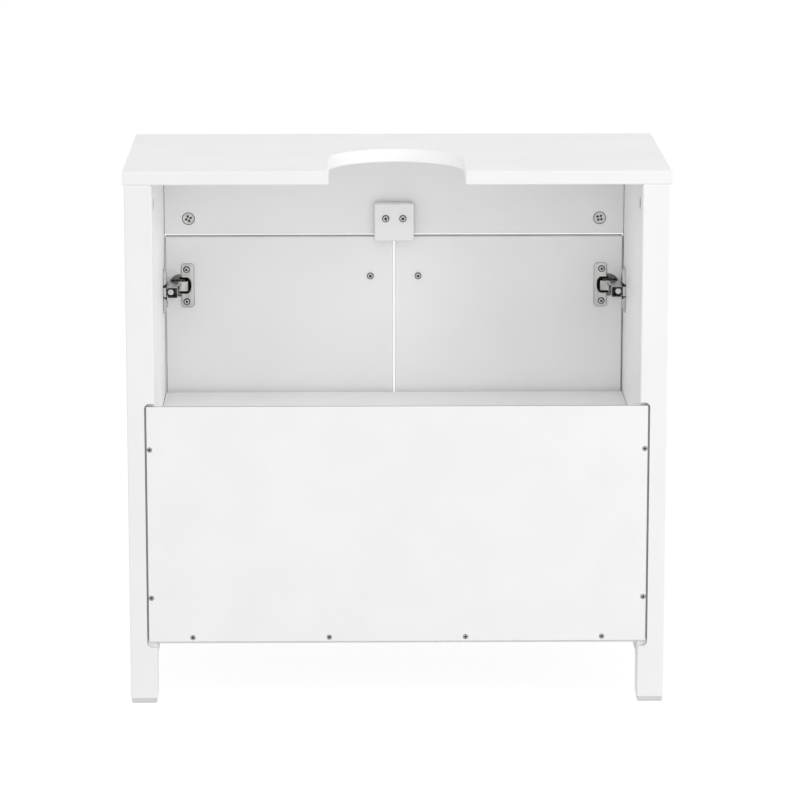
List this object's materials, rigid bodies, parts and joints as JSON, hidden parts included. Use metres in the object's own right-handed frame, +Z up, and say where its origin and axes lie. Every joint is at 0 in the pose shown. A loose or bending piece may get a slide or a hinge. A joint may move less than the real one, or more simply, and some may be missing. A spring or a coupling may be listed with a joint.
{
  "type": "sink base cabinet",
  "caption": "White free-standing basin cabinet with a pedestal cut-out in the top, inset doors on concealed hinges, a fixed shelf and a half-open back on square legs.",
  "frame": {"origin": "on the floor, in the middle of the overall box, knobs included", "axes": "+Z up; the doors face -Y; +X is to the right for someone facing the doors"},
  "size_m": [0.6, 0.321, 0.6],
  "materials": {
    "white_lacquered_board": "satin white lacquer on medium-density fibreboard",
    "white_hardboard": "smooth white-coated hardboard",
    "nickel_plated_steel": "bright nickel plate on pressed steel",
    "satin_nickel": "satin nickel",
    "zinc_alloy": "tumbled die-cast zinc",
    "screw_steel": "zinc-plated steel",
    "grey_plastic": "moulded pale grey plastic",
    "beech_dowel": "fluted beech"
  },
  "bodies": {
    "cabinet": {"arm_rear_screws": "screw_steel", "arm_side_screws": "screw_steel", "back_panel": "white_hardboard", "back_panel_screws": "screw_steel", "bottom_board": "white_lacquered_board", "bottom_cams": "zinc_alloy", "bottom_connecting_bolts": "screw_steel", "bottom_dowels": "beech_dowel", "door_stop_block": "white_lacquered_board", "front_rail": "white_lacquered_board", "left_back_glide": "grey_plastic", "left_back_leg": "white_lacquered_board", "left_front_glide": "grey_plastic", "left_front_leg": "white_lacquered_board", "left_lower_hinge_arm": "nickel_plated_steel", "left_lower_mounting_plate": "nickel_plated_steel", "left_plate_screws": "screw_steel", "left_side_panel": "white_lacquered_board", "left_upper_hinge_arm": "nickel_plated_steel", "left_upper_mounting_plate": "nickel_plated_steel", "rail_cams": "zinc_alloy", "rail_connecting_bolts": "screw_steel", "rail_dowels": "beech_dowel", "right_back_glide": "grey_plastic", "right_back_leg": "white_lacquered_board", "right_front_glide": "grey_plastic", "right_front_leg": "white_lacquered_board", "right_lower_hinge_arm": "nickel_plated_steel", "right_lower_mounting_plate": "nickel_plated_steel", "right_plate_screws": "screw_steel", "right_side_panel": "white_lacquered_board", "right_upper_hinge_arm": "nickel_plated_steel", "right_upper_mounting_plate": "nickel_plated_steel", "shelf": "white_lacquered_board", "shelf_cams": "zinc_alloy", "shelf_connecting_bolts": "screw_steel", "side_dowels": "beech_dowel", "stop_block_screws": "screw_steel", "top_board": "white_lacquered_board", "top_cams": "zinc_alloy", "top_connecting_bolts": "screw_steel", "top_dowels": "beech_dowel"},
    "left_leaf": {"left_cup_screws": "screw_steel", "left_door": "white_lacquered_board", "left_hinge_pins": "screw_steel", "left_knob": "satin_nickel", "left_knob_screw": "screw_steel", "left_lower_hinge_cup": "nickel_plated_steel", "left_upper_hinge_cup": "nickel_plated_steel"},
    "right_leaf": {"right_cup_screws": "screw_steel", "right_door": "white_lacquered_board", "right_hinge_pins": "screw_steel", "right_knob": "satin_nickel", "right_knob_screw": "screw_steel", "right_lower_hinge_cup": "nickel_plated_steel", "right_upper_hinge_cup": "nickel_plated_steel"}
  },
  "joints": [
    {"name": "left_door_hinge", "type": "hinge", "parent": "cabinet", "child": "left_leaf", "pos_m": [-0.2565, -0.1317, 0.284], "axis": [0, 0, -1], "range_deg": [0, 95]},
    {"name": "right_door_hinge", "type": "hinge", "parent": "cabinet", "child": "right_leaf", "pos_m": [0.2565, -0.1317, 0.284], "axis": [0, 0, 1], "range_deg": [0, 95]}
  ]
}
